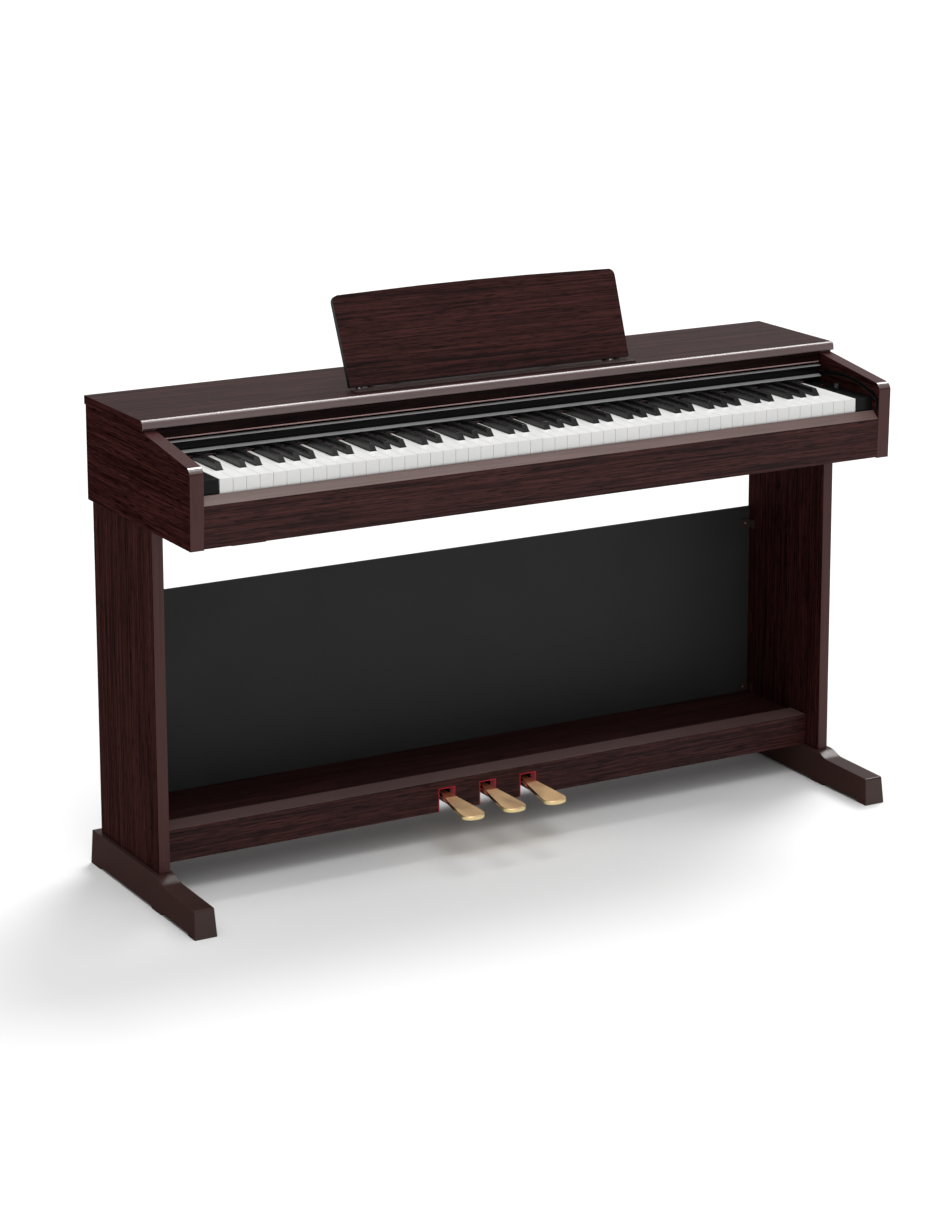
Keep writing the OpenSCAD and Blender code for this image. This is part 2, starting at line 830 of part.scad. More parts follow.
module music_rest() {
    skin_z = rest_t - rest_back - rest_skin;
    color(wood) raised() difference() {
        union() {
            difference() {
                translate([0, 0, -rest_back]) linear_extrude(rest_t) rest_outline();
                for (x = [-hinge_x, hinge_x])
                    block([x - hinge_w / 2 - 1, rest_low - cut, -rest_back - cut],
                        [x + hinge_w / 2 + 1, hinge_notch, skin_z]);
            }
            for (x = [-hinge_x, hinge_x]) {
                x_rod(x - knuckle_w / 2, x + knuckle_w / 2, 0, 0, knuckle_r);
                block([x - knuckle_w / 2, 0, -rest_back],
                    [x + knuckle_w / 2, hinge_notch + 2, skin_z + 0.2]);
            }
            for (x = [-prop_x, prop_x], side = [-1, 1])
                translate([x + side * (prop_w + cheek_t + 1) / 2, prop_pivot, -rest_back])
                    block([-cheek_t / 2, -cheek_r, -cheek_r], [cheek_t / 2, cheek_r, 0]);
        }
        x_rod(-rest_w, rest_w, 0, 0, hinge_r + hinge_clear);
        for (x = [-prop_x, prop_x])
            x_rod(x - prop_w, x + prop_w, prop_pivot, -prop_drop, prop_pin_r + hinge_clear);
    }
}

// The two folding props behind the rest, each on a pin of its own
module music_rest_props() {
    color(steel) raised() for (x = [-prop_x, prop_x])
        translate([x, prop_pivot, -prop_drop]) rotate([-rest_angle - prop_slope, 0, 0]) {
            block([-prop_w / 2, 0, -prop_back], [prop_w / 2, prop_len, prop_t - prop_back]);
            x_rod(-prop_w / 2, prop_w / 2, 0, 0, prop_pin_r + 0.4);
            x_rod(-prop_w / 2 - cheek_t, prop_w / 2 + cheek_t, 0, 0, prop_pin_r);
            x_rod(-prop_w / 2, prop_w / 2, prop_len, 0, prop_foot_r - 0.7);
        }
}

// The ribbed strip that the sheets stand on, and the two hinge blocks with their pins
module music_rest_base() {
    strip_d = 22;
    strip_t = 3;
    strip_rear_y = hinge_y - 9;
    plate_t = 1.5;
    color([0.22, 0.17, 0.16]) {
        difference() {
            block([rest_x - rest_w / 2, strip_rear_y - strip_d, cabinet_h],
                [rest_x + rest_w / 2, strip_rear_y, cabinet_h + strip_t]);
            for (i = [1:6])
                block([rest_x - rest_w / 2 - cut, strip_rear_y - strip_d + 3 * i, cabinet_h + 2],
                    [rest_x + rest_w / 2 + cut, strip_rear_y - strip_d + 3 * i + 1.5,
                        cabinet_h + strip_t + cut]);
        }
        for (x = [rest_x - hinge_x, rest_x + hinge_x]) {
            for (side = [-1, 1])
                translate([x + side * (hinge_w + knuckle_w + 1) / 4, 0, 0])
                    x_prism(-(hinge_w - knuckle_w - 1) / 4, (hinge_w - knuckle_w - 1) / 4)
                        polygon(concat([[hinge_y - 7, cabinet_h], [hinge_y + 7, cabinet_h]],
                            arc(hinge_y, hinge_z, knuckle_r + 0.5, 0, 180, 12)));
            x_rod(x - hinge_w / 2, x + hinge_w / 2, hinge_y, hinge_z, hinge_r);
            block([x - hinge_w / 2, hinge_y - 7, cabinet_h],
                [x + hinge_w / 2, hinge_y + 7, cabinet_h + plate_t]);
        }
    }
}

// ---- Stand ----

module leg() {
    block([inner_x, leg_front_y, foot_h], [leg_x, leg_rear_y, case_z]);
}

module leg_left() {
    color(wood) mirror([1, 0, 0]) leg();
}

module leg_right() {
    color(wood) leg();
}

// A foot seen from its side: three pads on the floor, a step under the leg, a lower toe
module foot_outline() {
    step_y = leg_front_y;
    step_len = 36;
    ease = [for (i = [0:8]) let (t = i / 8)
        [step_y - step_len * t, foot_h - (foot_h - toe_h - 2) * (1 - cos(180 * t)) / 2]];
    polygon(concat([[rear_y - 2, foot_h]], ease,
        [[front_y + toe_slope + 2, toe_h], [front_y + toe_slope, toe_h - 2], [front_y, 0],
            [front_y + 27, 0], [front_y + 29, pad_h], [step_y - 31, pad_h], [step_y - 28, 0],
            [step_y + 8, 0], [step_y + 11, pad_h], [rear_y - 41, pad_h], [rear_y - 39, 0],
            [rear_y, 0]]));
}

module foot() {
    intersection() {
        x_prism(foot_in_x - cut, half_w + cut) foot_outline();
        y_prism(front_y - cut, rear_y + cut)
            polygon([[foot_in_x, 0], [half_w, 0], [half_w - foot_draft, foot_h],
                [foot_in_x + foot_draft, foot_h]]);
    }
}

module foot_left() {
    color(foot_brown) mirror([1, 0, 0]) foot();
}

module foot_right() {
    color(foot_brown) foot();
}

// Holes through the back board and the brackets in front of it
module screw_holes() {
    both_sides() for (z = board_bracket_zs)
        y_rod(back_y - bracket_t - cut, box_rear_y + cut, screw_x, z + bracket_w / 2,
            screw_r + screw_clear);
}

module back_board() {
    color(black) difference() {
        block([-inner_x, back_y, shelf_z], [inner_x, box_rear_y, shelf_z + back_h]);
        screw_holes();
    }
}

// ---- Pedals ----

function pedal_place(i) = pedal_x + (i - 1) * pedal_pitch;

// A hollow box across the stand, with a raised ledge in front and a notch for each pedal
module pedal_box() {
    color(wood) difference() {
        x_prism(-inner_x, inner_x)
            polygon([[box_y, box_z], [box_rear_y, box_z], [box_rear_y, shelf_z],
                [box_y + ledge_d, shelf_z], [box_y + ledge_d, box_top], [box_y, box_top]]);
        block([-inner_x + box_wall, box_y + box_wall, box_z + box_floor],
            [inner_x - box_wall, box_rear_y - box_wall, shelf_z - ledge_t + 5]);
        for (i = [0:2])
            block([pedal_place(i) - notch_w / 2, box_y - cut, box_z - cut],
                [pedal_place(i) + notch_w / 2, box_y + notch_d, box_z + notch_h]);
        translate([adjust_x, adjust_y, box_z - cut])
            cylinder(r = adjust_r + shaft_clear, h = box_floor + 2 * cut);
    }
}

// Red lining around each pedal's notch
module pedal_felt() {
    color(red_felt) for (i = [0:2]) difference() {
        block([pedal_place(i) - notch_w / 2, box_y + 0.5, box_z],
            [pedal_place(i) + notch_w / 2, box_y + box_wall, box_z + notch_h]);
        block([pedal_place(i) - notch_w / 2 + felt_t, box_y - cut, box_z - cut],
            [pedal_place(i) + notch_w / 2 - felt_t, box_y + box_wall + cut,
                box_z + notch_h - felt_t]);
    }
}

// One pedal: a narrow arm inside the box, and a blade that widens to a rounded tip
module pedal(i) {
    half = pedal_w / 2;
    tip_y = box_y - pedal_out;
    bend_y = box_y + 12;
    neck_r = 11;
    boss_r = 9;
    color(gold) translate([pedal_place(i), 0, 0]) difference() {
        intersection() {
            union() {
                x_prism(-half, half)
                    polygon([[pedal_pivot_y, pedal_z - pedal_t / 2],
                        [pedal_pivot_y, pedal_z + pedal_t / 2], [bend_y, pedal_z + pedal_t / 2],
                        [tip_y, pedal_z + pedal_t / 2 - pedal_dip],
                        [tip_y, pedal_z - pedal_t / 2 - pedal_dip],
                        [bend_y, pedal_z - pedal_t / 2]]);
                x_rod(-pedal_arm_w / 2, pedal_arm_w / 2, pedal_pivot_y, pedal_z, boss_r);
            }
            translate([0, 0, box_z - 10]) linear_extrude(60)
                polygon(concat(
                    arc(pedal_corner - half, tip_y + pedal_corner + 1.5, pedal_corner, 180, 242),
                    [[-8, tip_y + 0.5], [0, tip_y], [8, tip_y + 0.5]],
                    arc(half - pedal_corner, tip_y + pedal_corner + 1.5, pedal_corner, 298, 360),
                    [[half - 1.5, tip_y + 2 * pedal_corner], [neck_r, box_y - 8],
                        [pedal_arm_w / 2, box_y + 6], [pedal_arm_w / 2, pedal_pivot_y + boss_r + 1],
                        [-pedal_arm_w / 2, pedal_pivot_y + boss_r + 1],
                        [-pedal_arm_w / 2, box_y + 6], [-neck_r, box_y - 8],
                        [1.5 - half, tip_y + 2 * pedal_corner]]));
        }
        x_rod(-half, half, pedal_pivot_y, pedal_z, pedal_shaft_r + pedal_clear);
    }
}

module soft_pedal() {
    pedal(0);
}

module sostenuto_pedal() {
    pedal(1);
}

module damper_pedal() {
    pedal(2);
}

// Steel plate on the box's floor, with a pair of ears beside each pedal
module pedal_frame() {
    floor_z = box_z + box_floor;
    color(steel) difference() {
        union() {
            block([pedal_place(0) - 40, pedal_pivot_y - 16, floor_z],
                [pedal_place(2) + 40, pedal_pivot_y + 16, floor_z + 2]);
            for (i = [0:2], side = [-1, 1])
                translate([pedal_place(i) + side * (ear_half + ear_t / 2), 0, 0])
                    block([-ear_t / 2, pedal_pivot_y - 10, floor_z],
                        [ear_t / 2, pedal_pivot_y + 10, pedal_z + 8]);
        }
        x_rod(pedal_place(0) - 60, pedal_place(2) + 60, pedal_pivot_y, pedal_z,
            pedal_shaft_r + pedal_clear);
    }
}

module pedal_shaft() {
    color(steel) x_rod(pedal_place(0) - 24, pedal_place(2) + 24, pedal_pivot_y, pedal_z,
        pedal_shaft_r);
}

// A torsion spring on the shaft beside each pedal's ears
module pedal_springs() {
    coil_r = pedal_shaft_r + 1.6;
    color(steel) for (i = [0:2])
        translate([pedal_place(i) + ear_half + ear_t + 1.2, pedal_pivot_y, pedal_z])
            rotate([0, 90, 0]) rotate_extrude() union() {
                for (k = [0:4])
                    translate([coil_r, spring_wire + 1.6 * spring_wire * k])
                        circle(r = spring_wire, $fn = 16);
            }
}

// The screwed foot under the pedal box, turned down until it meets the floor
module height_adjuster() {
    color(black) translate([adjust_x, adjust_y, 0]) {
        translate([0, 0, adjust_gap]) cylinder(r = adjust_foot_r, h = adjust_foot_t);
        translate([0, 0, adjust_gap + adjust_foot_t - 1])
            cylinder(r = adjust_r, h = box_z + box_floor - adjust_gap);
    }
}

// ---- Fittings ----

// An angle bracket with one leaf on a side face and the other on the face behind or above it
module angle_leaf(y0, y1, z0, z1) {
    block([inner_x - bracket_t, y0, z0], [inner_x, y1, z1]);
}

module brackets() {
    bed_bracket_ys = [leg_front_y + 30, leg_rear_y - 60];
    color(foot_brown) difference() {
        both_sides() {
            for (z = board_bracket_zs) {
                angle_leaf(back_y - bracket_leg, back_y, z, z + bracket_w);
                block([inner_x - bracket_leg, back_y - bracket_t, z],
                    [inner_x, back_y, z + bracket_w]);
            }
            for (y = bed_bracket_ys) {
                angle_leaf(y, y + bracket_w, case_z - bracket_leg, bed_z);
                block([inner_x - bracket_leg, y, bed_z - bracket_t],
                    [inner_x, y + bracket_w, bed_z]);
            }
        }
        screw_holes();
    }
}

// Screws through the back board into its brackets, with their heads at the back
module screws() {
    color(steel) both_sides() for (z = board_bracket_zs) {
        y_rod(back_y - bracket_t - 0.6, box_rear_y + 0.5, screw_x, z + bracket_w / 2, screw_r);
        y_rod(box_rear_y, box_rear_y + screw_head_h, screw_x, z + bracket_w / 2, screw_head_r);
    }
}

top_board();
side_panel_left();
side_panel_right();
rear_panel();
key_bed();
key_slip();
end_blocks();
control_panel();
key_felt();
cover_tracks();
key_cover_carriage();
key_cover();
key_cover_front();
music_rest();
music_rest_props();
music_rest_base();
volume_knob();
power_button();
song_button();
metronome_button();
voice_button();
key_frame();
key_pivot_shaft();
key_contact_strip();
circuit_board();
speakers();
speaker_grilles();
jack_boxes();
leg_left();
leg_right();
foot_left();
foot_right();
back_board();
pedal_box();
pedal_frame();
pedal_felt();
soft_pedal();
sostenuto_pedal();
damper_pedal();
pedal_shaft();
pedal_springs();
height_adjuster();
brackets();
screws();
middle_key(0);  // key_c4
middle_key(1);  // key_cs4
middle_key(2);  // key_d4
middle_key(3);  // key_ds4
middle_key(4);  // key_e4
middle_key(5);  // key_f4
middle_key(6);  // key_fs4
middle_key(7);  // key_g4
middle_key(8);  // key_gs4
middle_key(9);  // key_a4
middle_key(10);  // key_as4
middle_key(11);  // key_b4
white_keys_bass();
black_keys_bass();
white_keys_treble();
black_keys_treble();
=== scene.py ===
"""Looks of the home digital piano: materials, rounded edges and small fittings on its frame."""

import json
import math

import bmesh
import bpy
from mathutils import Matrix, Vector


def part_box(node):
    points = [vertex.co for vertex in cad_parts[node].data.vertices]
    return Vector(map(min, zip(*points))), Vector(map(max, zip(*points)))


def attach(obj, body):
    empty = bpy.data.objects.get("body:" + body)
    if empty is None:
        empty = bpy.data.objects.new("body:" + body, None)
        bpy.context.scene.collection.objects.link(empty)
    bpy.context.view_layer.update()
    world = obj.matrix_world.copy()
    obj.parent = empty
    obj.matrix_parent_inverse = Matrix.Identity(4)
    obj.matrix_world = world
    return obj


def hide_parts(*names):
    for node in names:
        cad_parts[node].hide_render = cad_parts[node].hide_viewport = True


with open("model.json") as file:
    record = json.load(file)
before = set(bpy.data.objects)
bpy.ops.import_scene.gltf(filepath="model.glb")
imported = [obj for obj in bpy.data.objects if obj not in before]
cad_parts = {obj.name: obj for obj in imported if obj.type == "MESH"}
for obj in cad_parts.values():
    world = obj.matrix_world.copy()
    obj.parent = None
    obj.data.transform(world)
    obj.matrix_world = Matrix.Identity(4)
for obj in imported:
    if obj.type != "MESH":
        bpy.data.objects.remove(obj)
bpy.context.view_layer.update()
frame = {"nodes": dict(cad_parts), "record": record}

MM = 0.001
SLOT_OF = {part["node"]: part["material_slot"] for part in frame["record"]["subparts"]}
BODY_OF = {
    node: body
    for body, nodes in frame["record"]["behaviour"]["bodies"].items()
    for node in nodes
}
X, Y, Z = 0, 1, 2

REST_LEAN = math.radians(68.5)  # From flat on the case to the raised rest
SHARP_EDGE = math.radians(28)  # Edges sharper than this are rounded
ONE_FACE = math.radians(0.6)  # Faces that meet at less than this are joined
TIP = 0.01  # Radius in millimetres that closes the end of a turned piece

# How far a face turns to a direction: the share of its normal along it
MOSTLY = 0.5
SQUARELY = 0.9


# ---- Node helpers ----


def new_material(name):
    """A new node material, its tree and its Principled shader."""
    made = bpy.data.materials.new(name)
    made.use_nodes = True
    return made, made.node_tree, made.node_tree.nodes["Principled BSDF"]


def add(tree, kind, sources=None, **settings):
    """A new node. Each source is a number, a colour or another node's output, by input name."""
    made = tree.nodes.new(kind)
    for key, value in settings.items():
        setattr(made, key, value)
    for socket, value in (sources or {}).items():
        if isinstance(value, bpy.types.NodeSocket):
            tree.links.new(value, made.inputs[socket])
        else:
            made.inputs[socket].default_value = value
    return made


def place(tree, scale):
    """Object coordinates, in metres, with each axis times its scale."""
    coords = add(tree, "ShaderNodeTexCoord").outputs["Object"]
    return add(tree, "ShaderNodeMapping", {"Vector": coords, "Scale": scale}).outputs["Vector"]


def noise(tree, scale, detail=2.0, roughness=0.5, distortion=0.0):
    """Noise whose features are about 1 / scale metres long on each axis."""
    sources = {
        "Vector": place(tree, scale),
        "Scale": 1.0,
        "Detail": detail,
        "Roughness": roughness,
        "Distortion": distortion,
    }
    return add(tree, "ShaderNodeTexNoise", sources).outputs["Fac"]


def remap(tree, value, low, high, to_low, to_high):
    """Value from low..high to to_low..to_high, kept inside them."""
    sources = {"Value": value, "From Min": low, "From Max": high}
    sources.update({"To Min": to_low, "To Max": to_high})
    return add(tree, "ShaderNodeMapRange", sources).outputs["Result"]


def blend_colours(tree, share, first, second):
    """First colour at share 0, second at share 1."""
    made = add(tree, "ShaderNodeMix", data_type="RGBA")
    for index, value in ((0, share), (6, first), (7, second)):
        if isinstance(value, bpy.types.NodeSocket):
            tree.links.new(value, made.inputs[index])
        elif index:
            made.inputs[index].default_value = (*value, 1.0)
        else:
            made.inputs[index].default_value = value
    return made.outputs[2]


def bump(tree, shader, height, depth, strength=1.0):
    """Bumps the shader's normal by height, depth metres deep."""
    sources = {"Height": height, "Distance": depth, "Strength": strength}
    made = add(tree, "ShaderNodeBump", sources)
    tree.links.new(made.outputs["Normal"], shader.inputs["Normal"])


# ---- Materials ----


def stretched(along, length, width):
    """Scales for a streak of that length along one axis and that width across it, in metres."""
    return [1 / length if axis == along else 1 / width for axis in (X, Y, Z)]


def rosewood(name, along, dark, light, rough, specular):
    """Printed rosewood laminate: wavy figure, fine streaks and short dark pores."""
    made, tree, shader = new_material(name)
    figure = noise(tree, stretched(along, 0.38, 0.010), 4.0, 0.6, 0.9)
    streaks = noise(tree, stretched(along, 0.17, 0.0026), 4.0, 0.6, 0.4)
    pores = noise(tree, stretched(along, 0.03, 0.0013), 2.0, 0.5)
    broad = remap(tree, figure, 0.38, 0.62, 0.0, 1.0)
    fine = remap(tree, streaks, 0.38, 0.62, 0.0, 1.0)
    ground = blend_colours(tree, broad, dark, light)
    streaked = blend_colours(tree, fine, [c * 0.7 for c in dark], [c * 1.05 for c in light])
    both = blend_colours(tree, 0.66, ground, streaked)
    open_pores = remap(tree, pores, 0.54, 0.64, 0.0, 0.8)
    colour = blend_colours(tree, open_pores, both, [c * 0.2 for c in dark])
    tree.links.new(colour, shader.inputs["Base Color"])
    roughness = remap(tree, streaks, 0.35, 0.65, rough + 0.06, rough - 0.04)
    tree.links.new(roughness, shader.inputs["Roughness"])
    shader.inputs["Specular IOR Level"].default_value = specular
    bump(tree, shader, remap(tree, pores, 0.5, 0.7, 1.0, 0.0), 0.00012, 0.5)
    return made


def moulding(name, along, colour, rough, specular=0.5, ior=1.5):
    """Smooth wrapped edge, with a faint grain along it."""
    made, tree, shader = new_material(name)
    streaks = noise(tree, stretched(along, 0.16, 0.0012), 3.0, 0.6)
    share = remap(tree, streaks, 0.35, 0.65, 0.0, 1.0)
    tint = blend_colours(tree, share, [c * 0.75 for c in colour], [c * 1.25 for c in colour])
    tree.links.new(tint, shader.inputs["Base Color"])
    tree.links.new(remap(tree, streaks, 0.3, 0.7, rough, rough + 0.06), shader.inputs["Roughness"])
    shader.inputs["Specular IOR Level"].default_value = specular
    shader.inputs["IOR"].default_value = ior
    bump(tree, shader, streaks, 0.00002, 0.4)
    return made


def moulded(name, colour, rough, grain=0.0006, depth=0.00003, tone=0.12, specular=0.5):
    """Moulded plastic or paint: fine grain in the surface and a little drift in tone and gloss."""
    made, tree, shader = new_material(name)
    cloud = noise(tree, [9.0] * 3, 3.0, 0.6)
    speck = noise(tree, [1 / grain] * 3, 2.0, 0.6)
    share = remap(tree, cloud, 0.3, 0.7, 0.0, 1.0)
    tint = blend_colours(
        tree, share, [c * (1 - tone) for c in colour], [min(1.0, c * (1 + tone)) for c in colour]
    )
    tree.links.new(tint, shader.inputs["Base Color"])
    tree.links.new(remap(tree, cloud, 0.3, 0.7, rough, rough * 1.18), shader.inputs["Roughness"])
    shader.inputs["Specular IOR Level"].default_value = specular
    bump(tree, shader, speck, depth, 0.6)
    return made


def metal(name, colour, rough, along=None):
    """Metal, polished or brushed along one axis."""
    made, tree, shader = new_material(name)
    scale = [450.0] * 3 if along is None else stretched(along, 0.03, 0.0003)
    lines = noise(tree, scale, 2.0, 0.6)
    cloud = noise(tree, [25.0] * 3, 2.0, 0.6)
    share = remap(tree, lines, 0.3, 0.7, 0.0, 1.0)
    tint = blend_colours(tree, share, [c * 0.9 for c in colour], colour)
    tree.links.new(tint, shader.inputs["Base Color"])
    roughness = remap(tree, cloud, 0.3, 0.7, rough * 0.85, rough * 1.2)
    tree.links.new(roughness, shader.inputs["Roughness"])
    shader.inputs["Metallic"].default_value = 1.0
    bump(tree, shader, lines, 0.00002, 0.5)
    return made


def felt(name, colour):
    """Pressed felt: tangled fibres and a soft sheen."""
    made, tree, shader = new_material(name)
    fibres = noise(tree, [1400.0, 900.0, 900.0], 4.0, 0.7, 0.8)
    share = remap(tree, fibres, 0.3, 0.7, 0.0, 1.0)
    tint = blend_colours(tree, share, [c * 0.6 for c in colour], colour)
    tree.links.new(tint, shader.inputs["Base Color"])
    shader.inputs["Roughness"].default_value = 0.95
    shader.inputs["Specular IOR Level"].default_value = 0.1
    shader.inputs["Sheen Weight"].default_value = 0.4
    bump(tree, shader, fibres, 0.0003)
    return made


def circuit(name):
    """Green solder mask over square copper tracks."""
    made, tree, shader = new_material(name)
    sources = {"Vector": place(tree, [260.0, 260.0, 1.0]), "Scale": 1.0}
    cells = add(tree, "ShaderNodeTexVoronoi", sources, distance="CHEBYCHEV", feature="F1")
    tracks = remap(tree, cells.outputs["Distance"], 0.36, 0.42, 0.0, 1.0)
    tint = blend_colours(tree, tracks, (0.015, 0.11, 0.045), (0.03, 0.22, 0.09))
    tree.links.new(tint, shader.inputs["Base Color"])
    shader.inputs["Roughness"].default_value = 0.3
    bump(tree, shader, tracks, 0.00004)
    return made


DARK = (0.0075, 0.0022, 0.0021)
LIGHT = (0.056, 0.0175, 0.0160)
BLACK = (0.0035, 0.0035, 0.0038)
WARM_BROWN = (0.030, 0.0155, 0.0135)
WRAP = (0.050, 0.0165, 0.0150)
MATERIALS = {
    "rosewood_horizontal": rosewood("rosewood_horizontal", X, DARK, LIGHT, 0.42, 0.11),
    "rosewood_vertical": rosewood("rosewood_vertical", Z, DARK, LIGHT, 0.42, 0.11),
    "black_panel": moulded("black_panel", BLACK, 0.3, depth=0.00002, specular=0.12),
    "gloss_black": moulded("gloss_black", BLACK, 0.16, depth=0.00001),
    "white_key": moulded("white_key", (0.80, 0.80, 0.79), 0.25, 0.002, 0.000008, 0.02),
    "black_key": moulded("black_key", (0.004, 0.004, 0.0045), 0.24, 0.0005, 0.00002, specular=0.45),
    "brown_plastic": moulded("brown_plastic", WARM_BROWN, 0.34, 0.0007, 0.00003, 0.1, 0.35),
    "back_board": moulded("back_board", (0.014, 0.0145, 0.0145), 0.55, 0.0009, 0.00005, 0.1, 0.3),
    "brass": metal("brass", (1.0, 0.68, 0.38), 0.42, Y),
    "steel": metal("steel", (0.5, 0.5, 0.52), 0.38, X),
    "red_felt": felt("red_felt", (0.55, 0.008, 0.028)),
    "rubber": moulded("rubber", (0.02, 0.02, 0.022), 0.7, 0.0008),
    "chassis": moulded("chassis", (0.012, 0.012, 0.013), 0.45, 0.0012, 0.00006),
    "circuit": circuit("circuit"),
}
DULL_SIDE = rosewood("rosewood_arm_side", Y, DARK, LIGHT, 0.55, 0.0)
DULL_LEG = rosewood("rosewood_leg_side", Z, DARK, LIGHT, 0.55, 0.002)
DULL_FOOT = moulded("foot_side", (0.043, 0.0210, 0.0180), 0.5, 0.0007, 0.00003, 0.1, 0.008)
FOOT_TOP = moulded("foot_top", (0.036, 0.0175, 0.0150), 0.3, 0.0007, 0.00003, 0.1, 0.3)
STRIP = moulding("edge_strip", X, (0.072, 0.031, 0.028), 0.33, 1.0, 1.65)
# Painted sheen: a light grey-brown on the key slip's bevel and the pedal box's top ledge, for the
# overhead light they reflect.
PAINTED_SHEEN_EDGE = moulding("slip_edge_painted_sheen", X, (0.115, 0.070, 0.064), 0.3)
ARM_CORNER = moulding("arm_corner", Y, WRAP, 0.26, 1.0, 1.9)
ARM_EDGE = moulding("arm_edge", Z, WRAP, 0.28, 0.22)
# Painted shade: the key cover rail's front is a copy of the rosewood darkened to three tenths, for
# the shade under the top board's nose.
SHADED_COVER_DARK, SHADED_COVER_LIGHT = ([c * 0.3 for c in colour] for colour in (DARK, LIGHT))
SHADED_COVER_FACE = rosewood("cover_face_painted_shade", X, SHADED_COVER_DARK, SHADED_COVER_LIGHT, 0.4, 0.05)
# Painted highlight: a pale pink on the key cover rail's lower rounded edge.
LIT_COVER_EDGE = moulding("cover_edge_painted_highlight", X, (0.60, 0.38, 0.36), 0.3)
# Painted shade: the red felt behind the keys is made very dark, for the shade it lies in under the
# control panel.
SHADED_FELT = felt("red_felt_painted_shade", (0.035, 0.001, 0.002))
# Painted shade: the white key fronts are a darker copy of the key white, for facing away from the
# overhead light.
SHADED_KEY_FRONT = moulded("key_front_painted_shade", (0.68, 0.68, 0.67), 0.3, 0.002, 0.000008, 0.02)
# Painted highlight: light grey on the black control panel's up-facing ledges, for the light their
# gloss reflects.
PAINTED_LEDGE_SHINE = moulded("panel_ledge_painted_highlight", (0.25, 0.25, 0.252), 0.32)
GOLD_EDGE = metal("polished_brass", (1.0, 0.78, 0.40), 0.15)
# Black for the rest's edges and back, and painted shade for the screw heads' cross recesses.
BLACK_EDGE_AND_SHADE = moulded("black_edge_and_painted_shade", (0.004, 0.004, 0.004), 0.4, specular=0.15)
LAMP = moulded("lamp_lens", (0.30, 0.02, 0.02), 0.15)
PRINT = moulded("white_print", (0.55, 0.55, 0.55), 0.5)
CHROME = metal("nickel", (0.72, 0.72, 0.74), 0.16)


# ---- Pieces from the frame's shapes ----


def add_object(name, mesh):
    made = bpy.data.objects.new(name, mesh)
    bpy.context.scene.collection.objects.link(made)
    return made


def round_edges(piece, width, segments):
    """Rounds every sharp edge, width millimetres wide, and evens the shading over it."""
    rounding = piece.modifiers.new("rounding", "BEVEL")
    rounding.width = width * MM
    rounding.segments = segments
    rounding.limit_method = "ANGLE"
    rounding.angle_limit = SHARP_EDGE
    rounding.miter_outer = "MITER_ARC"
    even = piece.modifiers.new("even", "WEIGHTED_NORMAL")
    even.keep_sharp = True
    for face in piece.data.polygons:
        face.use_smooth = True


def finished(name, width=0.8, segments=3, paint=None, others=()):
    """A copy of a CAD node with flat faces joined and edges rounded, which stands for the node.

    paint(normal, centre) says which of the materials, the slot's own and then others, a face takes.
    """
    built = bmesh.new()
    built.from_mesh(frame["nodes"][name].data)
    bmesh.ops.remove_doubles(built, verts=built.verts, dist=1e-6)
    bmesh.ops.dissolve_limit(
        built, angle_limit=ONE_FACE, verts=built.verts, edges=built.edges
    )
    for face in built.faces:
        face.material_index = paint(face.normal, face.calc_center_median()) if paint else 0
    mesh = bpy.data.meshes.new(name + "_piece")
    built.to_mesh(mesh)
    built.free()
    piece = add_object(name + "_piece", mesh)
    for material in (MATERIALS[SLOT_OF[name]], *others):
        mesh.materials.append(material)
    round_edges(piece, width, segments)
    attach(piece, BODY_OF[name])
    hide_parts(name)


def dress_frame():
    """Gives every CAD node its slot's material."""
    for name, node in frame["nodes"].items():
        for slot in node.material_slots:
            slot.material = MATERIALS[SLOT_OF[name]]


# ---- Cabinet ----


def cabinet():
    """The case's boards, with wrapped front edges."""
    finished("top_board", 0.7, 3, board_faces, [STRIP, DULL_SIDE])
    finished("rear_panel", 0.6, 2)
    finished("key_bed", 0.6, 2)
    finished("key_slip", 0.8, 3, slip_faces, [PAINTED_SHEEN_EDGE])
    for side in ("left", "right"):
        finished("side_panel_" + side, 2.2, 4, side_faces, [DULL_SIDE, ARM_EDGE, ARM_CORNER])
    finished("key_cover", 0.8, 2)
    finished("key_cover_front", 0.4, 3, rail_faces, [SHADED_COVER_FACE, LIT_COVER_EDGE])
    finished("control_panel", 0.5, 3, panel_faces, [PAINTED_LEDGE_SHINE])
    for name in ("end_blocks", "cover_tracks"):
        finished(name, 0.5, 3)


def board_faces(normal, centre):
    """Glossy wrapped front and dull ends."""
    nose_tilt = 0.12
    if abs(normal.x) > MOSTLY:
        return 2
    return int(normal.y < -nose_tilt)


def slip_faces(normal, centre):
    """Painted sheen: a lighter colour on the bevel between the key slip's top and front."""
    bevel_tilt = 0.2
    return int(normal.z > bevel_tilt and normal.y < -bevel_tilt)


def side_faces(normal, centre):
    """Dull broad faces and wrapped edges. Edges that slope or round over are set apart."""
    slope_low, slope_high = 0.3, 0.97
    if abs(normal.x) > MOSTLY:
        return 1
    return 3 if slope_low < normal.z < slope_high else 2


def rail_faces(normal, centre):
    """Painted shade on the key cover rail's front and a painted highlight on its lower edge."""
    lower_tilt = 0.25
    return 2 if normal.z < -lower_tilt else int(normal.y < -MOSTLY)


def panel_faces(normal, centre):
    """Painted highlight: a lighter grey on the control panel's up-facing ledges."""
    ledge_tilt = 0.4
    return int(normal.z > ledge_tilt)


# ---- Music rest ----


def music_rest():
    finished("music_rest", 0.9, 3, rest_faces, [BLACK_EDGE_AND_SHADE])
    finished("music_rest_props", 0.4, 2)
    finished("music_rest_base", 0.4, 2)


